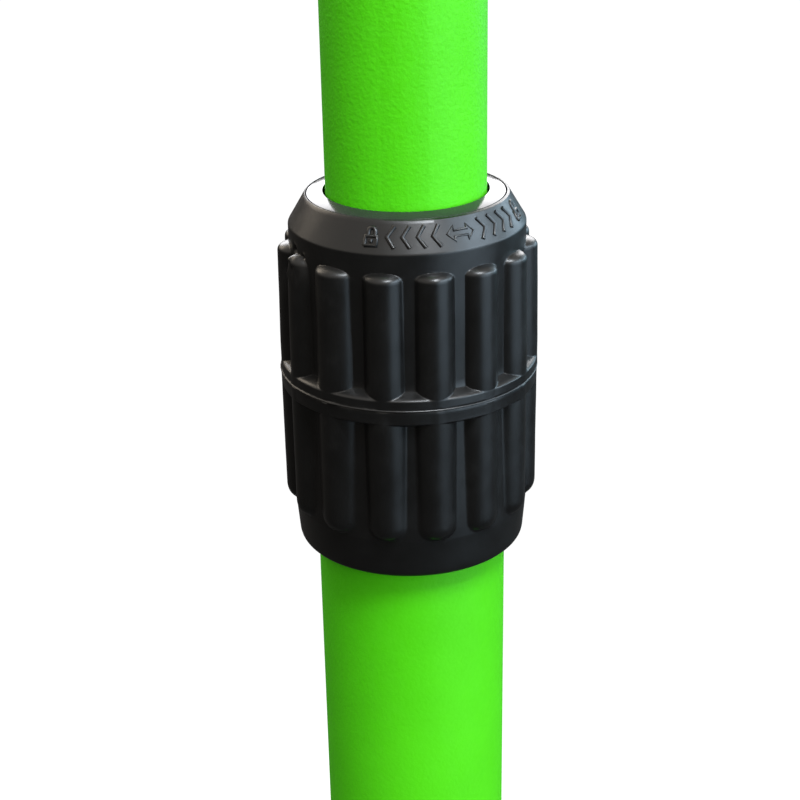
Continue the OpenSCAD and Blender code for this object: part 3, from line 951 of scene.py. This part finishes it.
def panel_bolts(material):
    """Button-head bolts put in from the stop side, with a hexagon socket and a rolled thread.

    They are made about Z, with Z towards the stop side, and then laid across.
    """
    head_y, end_y = HEAD_SEAT, -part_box("panel_bolts")[1].y / MM
    steps, pitch = 64, 1.25
    turns = np.arange(steps) / steps
    corners = [(1, head_y + 5, 0), (4.4, head_y + 5, 0.3), (5.6, head_y + 4.4, 0.8), (7, head_y + 2.2, 1.0)]
    corners += [(7, head_y, 0.3), (4, head_y, 0.2), (4, -19.8, 0)]
    shaft = rounded(corners, closed=False)
    thread = []
    for z in np.arange(-20, end_y + 0.2, -0.15):
        wave = np.abs((z / pitch + turns) % 1 - 0.5) * 2
        depth = 0.62 * np.clip(1.25 * (1 - wave) - 0.12, 0, 1)
        thread.append((z, np.minimum(3.98 - depth, 3.25 + (z - end_y) * 0.9)))
    pieces = []
    for z in BOLT_HEIGHTS:
        bolt = ring_skin("bolt", shaft + thread + [(end_y, 3.1), (end_y, 1)], steps, closed=False)
        bolt = cut(bolt, ring_skin("socket", [(head_y + 6, 3.5), (head_y + 2, 3.5)], 6, closed=False))
        pieces.append(across(bolt, z))
    settle(joined("panel_bolts_turned", pieces), "upper_staff", material, "zinc_steel", "panel_bolts")


def hex_radius(steps, flat_r):
    """A hexagon's radius round the turn."""
    angle = np.arange(steps) * 360 / steps
    return flat_r / np.cos(np.radians(angle % 60 - 30))


def panel_nuts(steel, insert):
    """Locking nuts: chamfered hexagon, rolled collar, nylon insert."""
    low, high = (corner.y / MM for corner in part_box("panel_nuts"))
    flat_r = 7.5 * math.cos(math.radians(30)) - 0.02
    steps = 96
    hexagon = hex_radius(steps, flat_r)
    base, top = high - low, 1.5
    collar = rounded([(4.75, 0, 0.25), (5.9, 0, 0.7), (6.1, top, 0.1)], closed=False, parts=5)
    outside = [(top + d, np.minimum(hexagon, 6.7 + d * 1.6)) for d in np.linspace(0, 0.8, 9)]
    under = [(base - d, np.minimum(hexagon, 6.6 + d * 1.6)) for d in np.linspace(0.8, 0, 9)]
    loop = collar + outside + under + [(base, 4.4), (base - 0.4, 4.03), (1.6, 4.03), (1.6, 4.75)]
    insert_corners = [(4.05, 0.25, 0.2), (4.72, 0.25, 0.2), (4.72, 1.55, 0), (4.05, 1.55, 0)]
    nuts, rings = [], []
    for z in BOLT_HEIGHTS:
        nuts.append(across(ring_skin("nut", loop, steps), 0))
        rings.append(across(turned("ring", insert_corners, 64), 0))
        for piece in (nuts[-1], rings[-1]):
            piece.data.transform(Matrix.Translation((0, high * MM, z * MM)))
    settle(joined("panel_nuts_formed", nuts), "upper_staff", steel, "zinc_steel", "panel_nuts")
    settle(joined("panel_nut_inserts", rings), "upper_staff", insert, "natural_nylon")


def flat_washers(material):
    """Two washers on each bolt, one on each saddle pad."""
    pieces = []
    for side in (-1, 1):
        for z in BOLT_HEIGHTS:
            corners = [(8, HEAD_SEAT, 0.25), (8, PAD_FACE, 0.25)]
            corners += [(BOLT_HOLE_R, PAD_FACE, 0.15), (BOLT_HOLE_R, HEAD_SEAT, 0.15)]
            pieces.append(across(turned("washer", corners, 96), z, side))
    settle(joined("flat_washers_pressed", pieces), "upper_staff", material, "zinc_steel", "flat_washers")


def saddle_pads(material):
    """Round pads that are hollowed to sit on the tube."""
    pieces = []
    for side in (-1, 1):
        for z in BOLT_HEIGHTS:
            corners = [(11, PAD_FACE, 0.8), (11, 11, 0), (BOLT_HOLE_R, 11, 0), (BOLT_HOLE_R, PAD_FACE, 0.2)]
            pieces.append(across(turned("pad", corners, 96), z, side))
    whole = joined("saddle_pads_moulded", pieces)
    low, high = BOLT_HEIGHTS[0] - 30, BOLT_HEIGHTS[1] + 30
    cut(whole, rod("tube", UPPER_R + 0.02, low, high, 256))
    settle(whole, "upper_staff", material, "cap_black", "saddle_pads")


def half_caps(material):
    """A domed cap in the tube's top, split by the sign."""
    low, high = (corner.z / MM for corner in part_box("half_caps"))
    inner = UPPER_R - 1.23
    corners = [(2, high, 0), (UPPER_R - 1.5, high, 1.1), (UPPER_R, high - 3, 0.3), (inner, high - 3, 0)]
    corners += [(inner, low, 0.6), (2, low, 0)]
    piece = turned("half_caps_moulded", corners, 192, closed=False)
    cut(piece, box_piece("blade", (-40, -SLOT_HALF, low - 5), (40, SLOT_HALF, high + 5)))
    bevel(piece, 0.25, 2, 50)
    settle(piece, "upper_staff", material, "cap_black", "half_caps")


def dress(material, slot, *nodes):
    """Gives CAD nodes, kept as they are, a material."""
    for name in nodes:
        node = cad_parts[name]
        node.data.materials.clear()
        node.data.materials.append(material)


def main():
    make_camera()
    make_world()
    make_floor()
    make_lights()
    black = moulded_plastic("collar_nylon", (0.0035, 0.0035, 0.0034, 1))
    cap = moulded_plastic("cap_plastic", (0.012, 0.012, 0.013, 1), 0.45)
    grey = moulded_plastic("grey_acetal", (0.05, 0.052, 0.058, 1), 0.4)
    ring_rubber = rubber("drag_rubber")
    zinc = zinc_plate("zinc_plated_steel")
    natural = nylon("natural_nylon", (0.72, 0.69, 0.6, 1))
    red = sheeting("red_retroreflective", (0.5, 0.008, 0.014, 1), (0.78, 0.1, 0.1, 1))
    orange = sheeting("orange_retroreflective", (0.92, 0.17, 0.008, 1), (1.0, 0.4, 0.12, 1))
    white = sheeting("white_retroreflective", (0.8, 0.81, 0.82, 1), (0.9, 0.9, 0.91, 1))
    black_film = vinyl_film("black_vinyl", (0.012, 0.012, 0.012, 1))
    lock_nut(black)
    lock_body(black)
    wiper_ring(polished_plastic("polished_black"))
    nut_marks(black)
    # The lower tube's coat is 8% darker than the upper tube's: painted shade, for a tube that the light
    # reaches less.
    lower_tube(powder_coat("lime_powder_coat_fine_painted_shade", 0.3, 0.92))
    upper_tube(powder_coat("lime_powder_coat", 0.55, 1))
    rubber_foot(rubber("foot_rubber"))
    sign_panel(brushed_aluminium("brushed_aluminium"))
    sheet_face("stop_sheeting", red, "red_sheeting")
    sheet_face("slow_sheeting", orange, "orange_sheeting")
    border_line("stop_border", white, "white_film")
    border_line("slow_border", black_film, "black_film")
    panel_bolts(zinc)
    panel_nuts(zinc, natural)
    flat_washers(zinc)
    saddle_pads(cap)
    half_caps(cap)
    dress(white, "white_film", "stop_legend")
    dress(black_film, "black_film", "slow_legend")
    dress(zinc, "zinc_steel", "foot_washer", "thrust_washer", "stop_ring", "crush_sleeves")
    dress(natural, "natural_nylon", "collet", "tube_end_plug")
    dress(grey, "grey_nylon", "guide_bush")
    dress(ring_rubber, "drag_rubber", "drag_ring")


main()
bpy.context.scene.view_settings.view_transform = "Standard"
